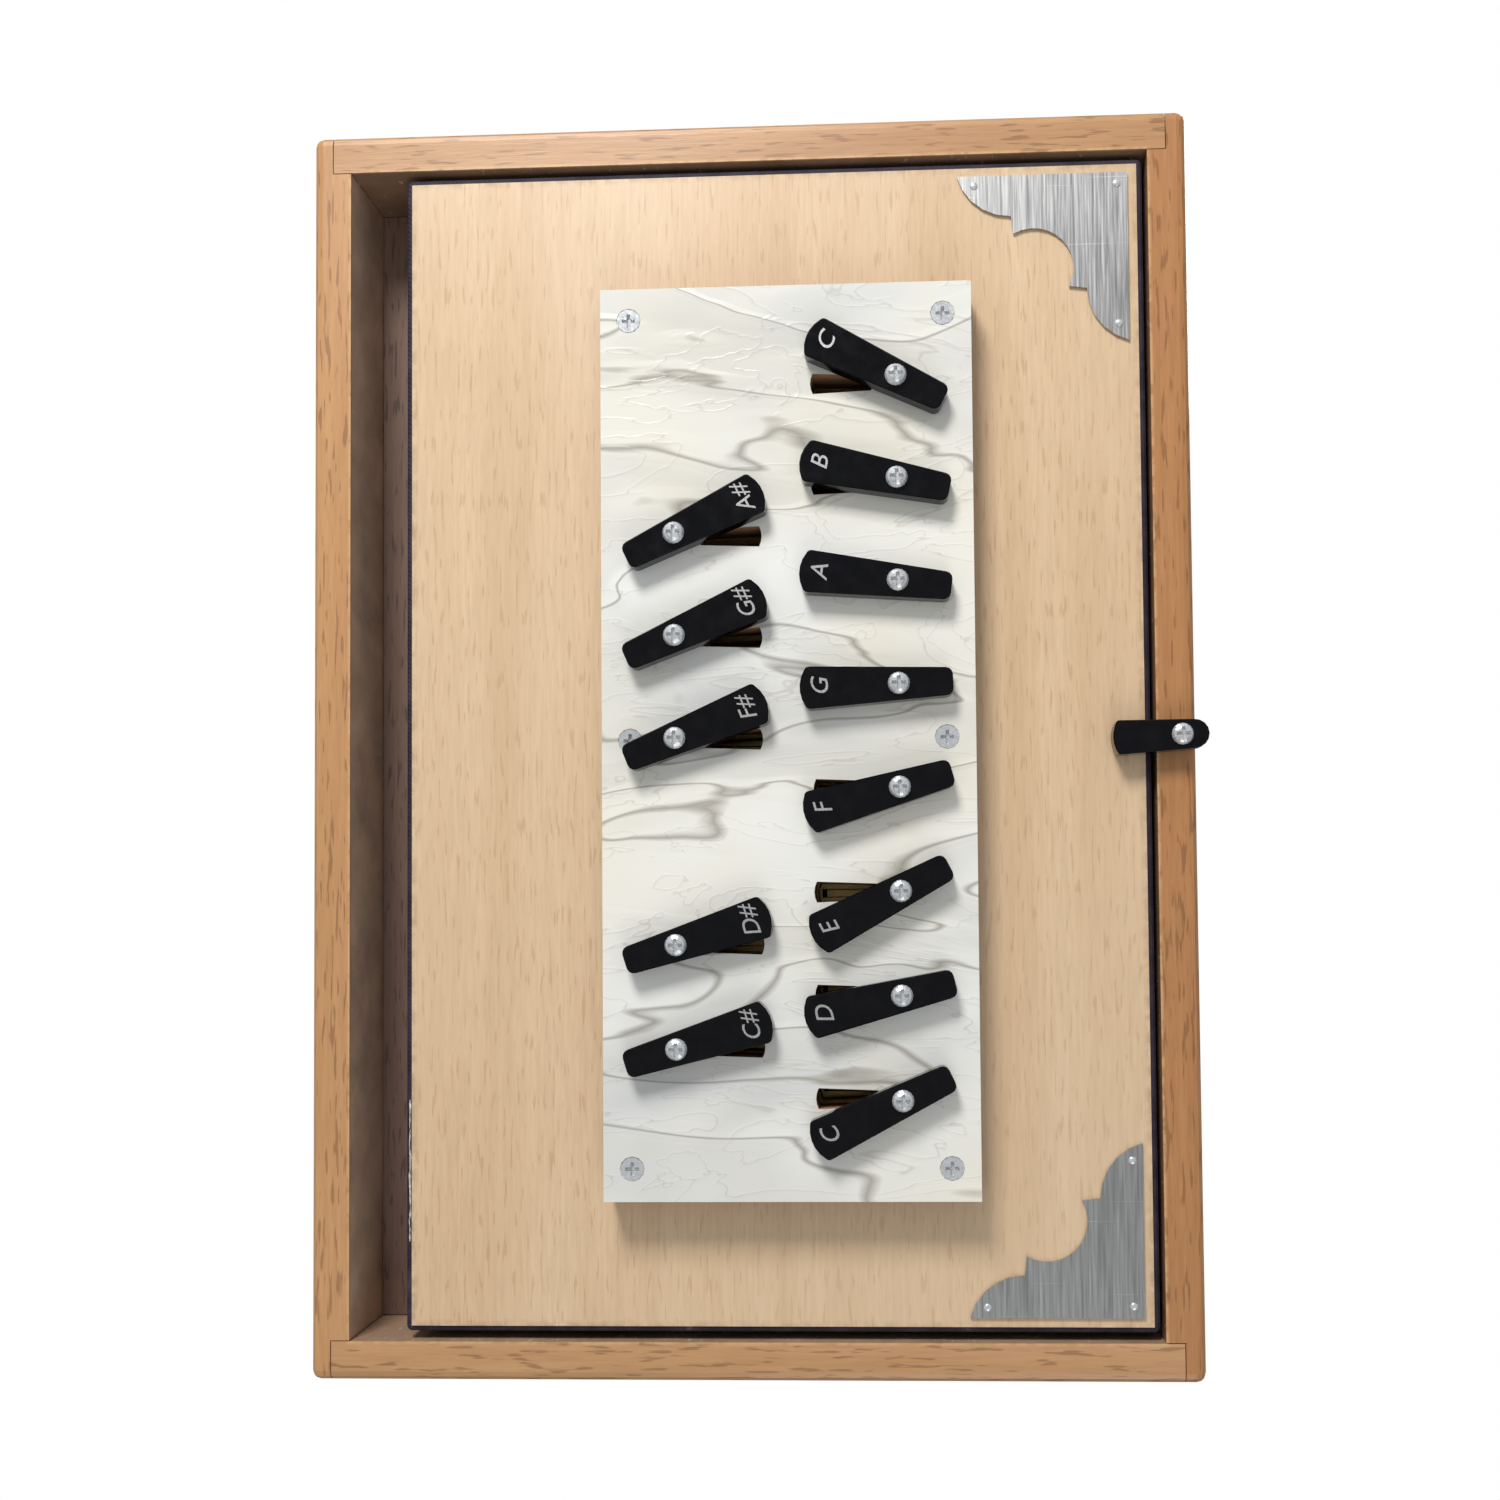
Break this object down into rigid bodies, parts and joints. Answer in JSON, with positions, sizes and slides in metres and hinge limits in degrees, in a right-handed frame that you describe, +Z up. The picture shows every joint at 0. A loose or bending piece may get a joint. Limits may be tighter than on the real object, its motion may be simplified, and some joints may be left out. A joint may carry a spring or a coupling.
{
  "type": "shruti box",
  "caption": "Hand-pumped drone box: open wooden case, hinged bellows boards front and back, pearl plate with turning black tabs over reed slots.",
  "frame": {"origin": "centre of the bottom wall's underside, with the box on its short end as it was pictured", "axes": "+X from the hinged edge of the boards to their free edge, +Y from the tab face into the box, +Z up"},
  "size_m": [0.2837, 0.104, 0.4],
  "materials": {
    "varnished_case_wood": "clear varnish, satin",
    "dark_stained_wood": "dark stain, matt",
    "pale_board_veneer": "clear varnish, satin",
    "pearl_laminate": "marbled pearl, glossy",
    "black_gloss_plastic": "glossy",
    "bright_zinc": "bright zinc plating",
    "brushed_sheet_metal": "brushed",
    "dark_bellows_cloth": "coated cloth, matt",
    "reed_board_wood": "raw",
    "reed_brass": "rolled",
    "valve_leather": "suede",
    "spring_wire": "drawn wire"
  },
  "bodies": {
    "case": {"hinge_side_wall": "varnished_case_wood", "latch_side_wall": "varnished_case_wood", "bottom_wall": "varnished_case_wood", "top_wall": "varnished_case_wood", "wind_board": "dark_stained_wood", "reservoir_frame": "dark_stained_wood", "pump_frame": "dark_stained_wood", "reservoir_bellows": "dark_bellows_cloth", "pump_bellows": "dark_bellows_cloth", "delivery_valve_flap": "valve_leather", "reservoir_spring_1": "spring_wire", "reservoir_spring_2": "spring_wire", "front_latch_screw": "bright_zinc", "rear_latch_screw": "bright_zinc"},
    "reservoir": {"reservoir_board": "pale_board_veneer", "tab_plate": "pearl_laminate", "plate_screw_1": "bright_zinc", "plate_screw_2": "bright_zinc", "plate_screw_3": "bright_zinc", "plate_screw_4": "bright_zinc", "plate_screw_5": "bright_zinc", "plate_screw_6": "bright_zinc", "tab_screw_c_low": "bright_zinc", "tab_screw_c_sharp": "bright_zinc", "tab_screw_d": "bright_zinc", "tab_screw_d_sharp": "bright_zinc", "tab_screw_e": "bright_zinc", "tab_screw_f": "bright_zinc", "tab_screw_f_sharp": "bright_zinc", "tab_screw_g": "bright_zinc", "tab_screw_g_sharp": "bright_zinc", "tab_screw_a": "bright_zinc", "tab_screw_a_sharp": "bright_zinc", "tab_screw_b": "bright_zinc", "tab_screw_c_high": "bright_zinc", "reservoir_corner_bottom": "brushed_sheet_metal", "reservoir_corner_top": "brushed_sheet_metal", "natural_reed_board": "reed_board_wood", "sharp_reed_board": "reed_board_wood", "natural_reed_plate": "reed_brass", "sharp_reed_plate": "reed_brass"},
    "pump": {"pump_board": "pale_board_veneer", "pump_corner_bottom": "brushed_sheet_metal", "pump_corner_top": "brushed_sheet_metal", "intake_valve_flap": "valve_leather"},
    "front_latch": {"front_latch": "black_gloss_plastic"},
    "rear_latch": {"rear_latch": "black_gloss_plastic"},
    "tab_c_low": {"tab_c_low": "black_gloss_plastic"},
    "tab_c_sharp": {"tab_c_sharp": "black_gloss_plastic"},
    "tab_d": {"tab_d": "black_gloss_plastic"},
    "tab_d_sharp": {"tab_d_sharp": "black_gloss_plastic"},
    "tab_e": {"tab_e": "black_gloss_plastic"},
    "tab_f": {"tab_f": "black_gloss_plastic"},
    "tab_f_sharp": {"tab_f_sharp": "black_gloss_plastic"},
    "tab_g": {"tab_g": "black_gloss_plastic"},
    "tab_g_sharp": {"tab_g_sharp": "black_gloss_plastic"},
    "tab_a": {"tab_a": "black_gloss_plastic"},
    "tab_a_sharp": {"tab_a_sharp": "black_gloss_plastic"},
    "tab_b": {"tab_b": "black_gloss_plastic"},
    "tab_c_high": {"tab_c_high": "black_gloss_plastic"}
  },
  "joints": [
    {"name": "reservoir_hinge", "type": "hinge", "parent": "case", "child": "reservoir", "pos_m": [-0.104, -0.0283, 0.2], "axis": [0, 0, -1], "range_deg": [-2.4, 0.25], "stiffness_Nm_per_rad": 18, "deforming": ["reservoir_bellows", "reservoir_spring_1", "reservoir_spring_2"]},
    {"name": "pump_hinge", "type": "hinge", "parent": "case", "child": "pump", "pos_m": [-0.104, 0.0283, 0.2], "axis": [0, 0, 1], "range_deg": [0, 12], "deforming": ["pump_bellows"]},
    {"name": "front_latch_turn", "type": "hinge", "parent": "case", "child": "front_latch", "pos_m": [0.1348, -0.0378, 0.2005], "axis": [0, -1, 0], "range_deg": [-90, 90]},
    {"name": "rear_latch_turn", "type": "hinge", "parent": "case", "child": "rear_latch", "pos_m": [0.1348, 0.0378, 0.2005], "axis": [0, 1, 0], "range_deg": [-90, 0]},
    {"name": "tab_c_low_turn", "type": "hinge", "parent": "reservoir", "child": "tab_c_low", "pos_m": [0.0476, -0.0499, 0.08975], "axis": [0, -1, 0], "range_deg": [-25.6, 9.4]},
    {"name": "tab_c_sharp_turn", "type": "hinge", "parent": "reservoir", "child": "tab_c_sharp", "pos_m": [-0.0208, -0.0499, 0.1055], "axis": [0, -1, 0], "range_deg": [-16.9, 18.1]},
    {"name": "tab_d_turn", "type": "hinge", "parent": "reservoir", "child": "tab_d", "pos_m": [0.0476, -0.0499, 0.12125], "axis": [0, -1, 0], "range_deg": [-13.3, 21.7]},
    {"name": "tab_d_sharp_turn", "type": "hinge", "parent": "reservoir", "child": "tab_d_sharp", "pos_m": [-0.0208, -0.0499, 0.137], "axis": [0, -1, 0], "range_deg": [-17.4, 17.6]},
    {"name": "tab_e_turn", "type": "hinge", "parent": "reservoir", "child": "tab_e", "pos_m": [0.0476, -0.0499, 0.15275], "axis": [0, -1, 0], "range_deg": [-27.3, 7.7]},
    {"name": "tab_f_turn", "type": "hinge", "parent": "reservoir", "child": "tab_f", "pos_m": [0.0476, -0.0499, 0.18425], "axis": [0, -1, 0], "range_deg": [-15.3, 19.7]},
    {"name": "tab_f_sharp_turn", "type": "hinge", "parent": "reservoir", "child": "tab_f_sharp", "pos_m": [-0.0208, -0.0499, 0.2], "axis": [0, -1, 0], "range_deg": [-21.8, 13.2]},
    {"name": "tab_g_turn", "type": "hinge", "parent": "reservoir", "child": "tab_g", "pos_m": [0.0476, -0.0499, 0.21575], "axis": [0, -1, 0], "range_deg": [-31.9, 28.1]},
    {"name": "tab_g_sharp_turn", "type": "hinge", "parent": "reservoir", "child": "tab_g_sharp", "pos_m": [-0.0208, -0.0499, 0.2315], "axis": [0, -1, 0], "range_deg": [-23.5, 11.5]},
    {"name": "tab_a_turn", "type": "hinge", "parent": "reservoir", "child": "tab_a", "pos_m": [0.0476, -0.0499, 0.24725], "axis": [0, -1, 0], "range_deg": [-27.9, 7.1]},
    {"name": "tab_a_sharp_turn", "type": "hinge", "parent": "reservoir", "child": "tab_a_sharp", "pos_m": [-0.0208, -0.0499, 0.263], "axis": [0, -1, 0], "range_deg": [-25.7, 9.3]},
    {"name": "tab_b_turn", "type": "hinge", "parent": "reservoir", "child": "tab_b", "pos_m": [0.0476, -0.0499, 0.27875], "axis": [0, -1, 0], "range_deg": [-22.8, 12.2]},
    {"name": "tab_c_high_turn", "type": "hinge", "parent": "reservoir", "child": "tab_c_high", "pos_m": [0.0476, -0.0499, 0.31025], "axis": [0, -1, 0], "range_deg": [-7.9, 27.1]}
  ]
}
